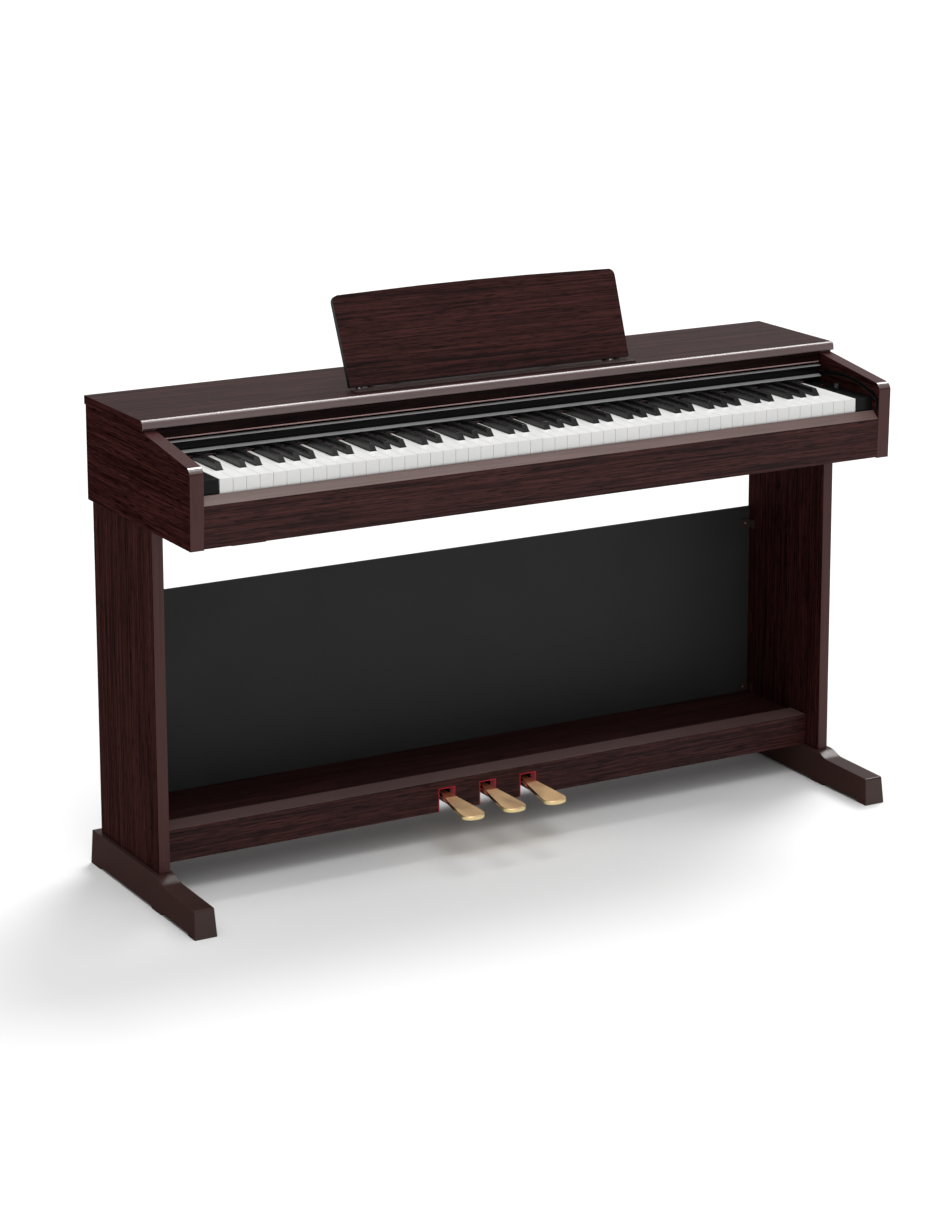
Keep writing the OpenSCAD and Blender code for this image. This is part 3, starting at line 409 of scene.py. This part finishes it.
def rest_faces(normal, centre):
    """Wood on the rest's front, and black on its edges and back."""
    face_way = Vector((0, -math.sin(REST_LEAN), math.cos(REST_LEAN)))
    return 0 if normal.dot(face_way) > SQUARELY else 1


# ---- Keyboard ----


def keyboard():
    """Keys with softened edges over a red felt strip darkened with painted shade."""
    finished("key_felt", 0.2, 1, lambda normal, centre: 1, [SHADED_FELT])
    for name, slot in SLOT_OF.items():
        if slot == "white_key":
            finished(name, 0.35, 2, key_faces, [SHADED_KEY_FRONT])
        elif slot == "black_key":
            finished(name, 1.0, 3)


def key_faces(normal, centre):
    """Painted shade: a slightly darker white on the front below a white key's top."""
    return int(normal.y < -MOSTLY)


# ---- Stand and pedals ----


def stand():
    """Legs, feet and boards. A sloping or rounded edge looks like the other edges here."""
    for side in ("left", "right"):
        finished("leg_" + side, 1.6, 4, side_faces, [DULL_LEG, ARM_EDGE, ARM_EDGE])
        finished("foot_" + side, 2.0, 4, side_faces, [DULL_FOOT, FOOT_TOP, FOOT_TOP])
    finished("back_board", 0.5, 2)
    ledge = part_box("pedal_box")[1].z - 1 * MM
    # Painted sheen: the pedal box's topmost up-facing faces take the lighter bevel colour.
    sheen_ledge = lambda normal, centre: int(normal.z > SQUARELY and centre.z > ledge)
    finished("pedal_box", 0.8, 3, sheen_ledge, [PAINTED_SHEEN_EDGE])
    finished("brackets", 0.4, 2)
    finished("screws", 0.3, 2)


def pedals():
    for name in ("soft_pedal", "sostenuto_pedal", "damper_pedal"):
        finished(name, 2.6, 5, pedal_faces, [GOLD_EDGE])


def pedal_faces(normal, centre):
    """Brushed top and polished rim."""
    return 0 if normal.z > SQUARELY else 1


# ---- Small fittings ----


def detail(name, mesh, at, body, slot, material):
    """A small piece at a place, in metres, that moves with a body."""
    mesh.materials.append(material)
    piece = add_object(name, mesh)
    piece.location = at
    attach(piece, body)


def turned(name, profile, axis, segments=32):
    """A mesh turned around an axis from (radius, height) pairs in millimetres."""
    turn = Vector((0, 0, 1)).rotation_difference(Vector(axis)).to_matrix()
    around = [2 * math.pi * i / segments for i in range(segments)]
    built = bmesh.new()
    rings = []
    for radius, height in profile:
        points = (Vector((radius * math.cos(a), radius * math.sin(a), height)) for a in around)
        rings.append([built.verts.new(turn @ (point * MM)) for point in points])
    for low, high in zip(rings, rings[1:] + rings[:1]):
        for i in range(segments):
            j = (i + 1) % segments
            built.faces.new((low[i], low[j], high[j], high[i]))
    mesh = bpy.data.meshes.new(name)
    built.to_mesh(mesh)
    built.free()
    return mesh


def slab(name, *sizes):
    """A mesh of boxes around the origin, each of the given size in millimetres."""
    built = bmesh.new()
    for size in sizes:
        made = bmesh.ops.create_cube(built, size=MM)
        bmesh.ops.scale(built, vec=Vector(size), verts=made["verts"])
    mesh = bpy.data.meshes.new(name)
    built.to_mesh(mesh)
    built.free()
    return mesh


def jack_nuts():
    """A plated ring around each socket's mouth."""
    mouth = 5.0  # From the mount's place out to the mouth, in millimetres
    gap, rim, crown = 0.3, 2.4, 1.8
    shoulder, top = 0.9, 1.5
    for mount in frame["record"]["mounts"]:
        if mount["kind"] != "bore":
            continue
        hole = mount["dims"]["r_mm"] + gap
        outer = hole + rim
        profile = [(hole, 0), (outer, 0), (outer, shoulder), (hole + crown, top), (hole, top)]
        name = mount["name"] + "_ring"
        mesh = turned(name, profile, mount["axis"])
        at = Vector(mount["pos_m"]) + Vector(mount["axis"]) * mouth * MM
        detail(name, mesh, at, BODY_OF["jack_boxes"], "steel", CHROME)


def screw_crosses():
    """Painted shade: a thin dark cross standing for the recess in each of the back board's screw
    heads.
    """
    low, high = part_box("screws")
    head_r = 4 * MM
    long, deep, wide = 4.4, 0.2, 0.9
    for i, x in enumerate((low.x + head_r, high.x - head_r)):
        for j, z in enumerate((low.z + head_r, high.z - head_r)):
            name = f"screw_cross_{i}{j}"
            mesh = slab(name, (long, deep, wide), (wide, deep, long))
            # Painted shade: a thin black cross laid on the screw head where its recess would be
            # shaded.
            detail(name, mesh, (x, high.y, z), BODY_OF["screws"], "steel", BLACK_EDGE_AND_SHADE)


def control_marks():
    """Printed marks on the buttons and a lamp behind the power button."""
    for node in ("song_button", "metronome_button", "voice_button"):
        low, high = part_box(node)
        middle = (low + high) / 2
        at = (middle.x, middle.y, high.z)
        mesh = slab(node + "_mark", (4.0, 0.7, 0.1))
        detail(node + "_mark", mesh, at, BODY_OF[node], SLOT_OF[node], PRINT)
    low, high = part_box("power_button")
    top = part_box("end_blocks")[1].z
    behind = 7 * MM
    at = ((low.x + high.x) / 2, high.y + behind, top)
    lens = [(TIP, -0.3), (1.3, -0.3), (1.3, 0.1), (0.8, 0.4), (TIP, 0.5)]
    mesh = turned("power_lamp", lens, (0, 0, 1))
    detail("power_lamp", mesh, at, BODY_OF["end_blocks"], "black_panel", LAMP)


def rest_pins():
    """A short bright pin near each end of the rest's base."""
    low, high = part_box("music_rest_base")
    wide = high.x - low.x
    rise, forward = 3.2 * MM, 14.6 * MM
    radius, half = 1.2, 2
    for i, share in enumerate((0.03, 0.93)):
        at = (low.x + wide * share, high.y - forward, low.z + rise)
        profile = [(TIP, -half), (radius, -half), (radius, half), (TIP, half)]
        mesh = turned(f"rest_pin_{i}", profile, (1, 0, 0), 16)
        detail(f"rest_pin_{i}", mesh, at, BODY_OF["music_rest_base"], "steel", MATERIALS["steel"])


# ---- Scene ----


def floor():
    """A wide pale floor."""
    made, tree, shader = new_material("floor")
    cloud = noise(tree, [1.3] * 3, 3.0, 0.6)
    tint = blend_colours(tree, cloud, (0.84, 0.84, 0.84), (0.88, 0.88, 0.88))
    tree.links.new(tint, shader.inputs["Base Color"])
    shader.inputs["Roughness"].default_value = 0.9
    shader.inputs["Specular IOR Level"].default_value = 0.1
    mesh = bpy.data.meshes.new("floor")
    half = 60.0
    corners = [(-half, -half, 0), (half, -half, 0), (half, half, 0), (-half, half, 0)]
    mesh.from_pydata(corners, [], [(0, 1, 2, 3)])
    mesh.materials.append(made)
    add_object("floor", mesh)


def sun(name, strength, spread, azimuth, elevation):
    """Even light from one side of the sky, as from a very large softbox. Angles in degrees."""
    light = bpy.data.lights.new(name, "SUN")
    light.energy = strength
    light.angle = math.radians(spread)
    made = bpy.data.objects.new(name, light)
    bpy.context.scene.collection.objects.link(made)
    a, e = math.radians(azimuth), math.radians(elevation)
    back = Vector((math.sin(a) * math.cos(e), -math.cos(a) * math.cos(e), math.sin(e)))
    made.rotation_euler = back.to_track_quat("Z", "Y").to_euler()


def lighting():
    """A soft studio: a dim surround, a white backdrop for the camera and three broad suns."""
    dim, white = 0.32, 1.0
    world = bpy.data.worlds.new("studio")
    bpy.context.scene.world = world
    world.use_nodes = True
    tree = world.node_tree
    output = tree.nodes["World Output"]
    soft = tree.nodes["Background"]
    soft.inputs["Color"].default_value = (1, 1, 1, 1)
    soft.inputs["Strength"].default_value = dim
    backdrop = add(tree, "ShaderNodeBackground", {"Color": (1, 1, 1, 1), "Strength": white})
    seen = add(tree, "ShaderNodeLightPath").outputs["Is Camera Ray"]
    sources = {0: seen, 1: soft.outputs[0], 2: backdrop.outputs[0]}
    mixed = add(tree, "ShaderNodeMixShader", sources)
    tree.links.new(mixed.outputs[0], output.inputs["Surface"])
    sun("overhead", 1.7, 50, -10, 74)
    sun("front", 0.6, 40, -10, 30)
    sun("strip", 1.7, 26, 125, 54)
    bpy.context.scene.view_settings.view_transform = "Standard"


def camera():
    """The photograph's viewpoint: well in front, to the player's left, a little above the piano."""
    stand_at = (-2.708, -4.718, 1.917)
    yaw, pitch = math.radians(30.01), math.radians(-11.90)
    level = math.cos(pitch)
    ahead = Vector((math.sin(yaw) * level, math.cos(yaw) * level, math.sin(pitch)))
    right = Vector((math.cos(yaw), -math.sin(yaw), 0))
    up = right.cross(ahead)
    lens = bpy.data.cameras.new("camera")
    lens.lens = 96.77
    lens.sensor_width = 36
    lens.shift_x = -0.03
    lens.shift_y = -0.17
    made = bpy.data.objects.new("camera", lens)
    bpy.context.scene.collection.objects.link(made)
    turn = Matrix((right, up, -ahead)).transposed().to_4x4()
    made.matrix_world = Matrix.Translation(stand_at) @ turn
    bpy.context.scene.camera = made


camera()
lighting()
floor()
dress_frame()
cabinet()
music_rest()
keyboard()
stand()
pedals()
jack_nuts()
screw_crosses()
control_marks()
rest_pins()
